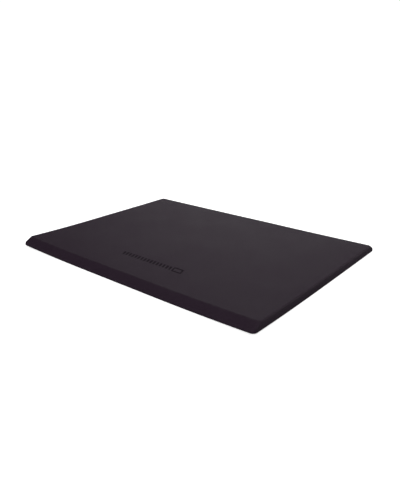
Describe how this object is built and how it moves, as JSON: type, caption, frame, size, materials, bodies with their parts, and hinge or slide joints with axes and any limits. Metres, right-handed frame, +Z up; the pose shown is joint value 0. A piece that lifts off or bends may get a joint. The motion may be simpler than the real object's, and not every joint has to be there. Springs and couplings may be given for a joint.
{
  "type": "anti-fatigue mat",
  "caption": "Rectangular standing mat: a moulded cover with walk-on bevels on its long edges, foam layers inside and a rubber grip sheet underneath.",
  "frame": {"origin": "middle of the footprint, on the floor under the grip pads", "axes": "+X along the long bevelled edges, +Y from the edge with the debossed mark towards the back, +Z up out of the standing face"},
  "size_m": [0.61, 0.465, 0.016],
  "materials": {
    "cover_skin": "near-black plum polyurethane skin with a fine moulded grain, matte",
    "soft_foam": "grey open-cell foam, matte",
    "firm_foam": "charcoal fine-cell foam, matte",
    "grip_rubber": "black rubber with a dull finish and raised square pads"
  },
  "bodies": {
    "root": {"top_cover": "cover_skin", "comfort_foam": "soft_foam", "support_foam": "firm_foam", "grip_base": "grip_rubber"}
  },
  "joints": []
}
